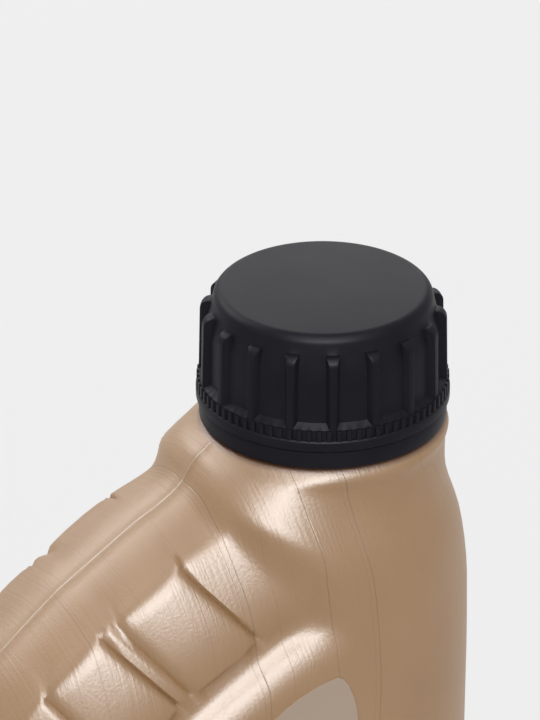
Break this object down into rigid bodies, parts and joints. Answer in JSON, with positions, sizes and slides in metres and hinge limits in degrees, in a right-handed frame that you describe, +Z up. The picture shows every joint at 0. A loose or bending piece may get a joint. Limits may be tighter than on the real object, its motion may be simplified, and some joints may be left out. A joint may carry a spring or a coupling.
{
  "type": "leather cleaner bottle",
  "caption": "Blow-moulded bottle for leather cleaner with a sloping grip shoulder, off-centre neck, ribbed screw cap with liner, tamper band and flat labels.",
  "frame": {"origin": "centre of the bounding box on the resting plane", "axes": "+Z up along the height, +X towards the neck end, -Y the front label face"},
  "size_m": [0.1151, 0.0624, 0.2364],
  "materials": {
    "pearl_gold_plastic": "satin pearl, fine die lines",
    "black_cap_plastic": "fine matt grain",
    "liner_foam": "smooth foam",
    "label_film": "satin film",
    "cleaner_liquid": "milky liquid"
  },
  "bodies": {
    "container": {"bottle": "pearl_gold_plastic", "tamper_band": "black_cap_plastic", "front_label": "label_film", "back_label": "label_film", "liquid": "cleaner_liquid"},
    "seal": {"cap_liner": "liner_foam"},
    "closure": {"cap": "black_cap_plastic"}
  },
  "joints": [
    {"name": "cap_lift", "type": "slide", "parent": "container", "child": "seal", "axis": [0, 0, 1], "range_m": [0, 0.01]},
    {"name": "cap_turn", "type": "hinge", "parent": "seal", "child": "closure", "pos_m": [0.0283, 0, 0.2132], "axis": [0, 0, 1], "range_deg": [0, 905]}
  ],
  "couplings": [
    {"joint": "cap_turn", "follows": "cap_lift", "rad_per_m": 1570.8}
  ]
}
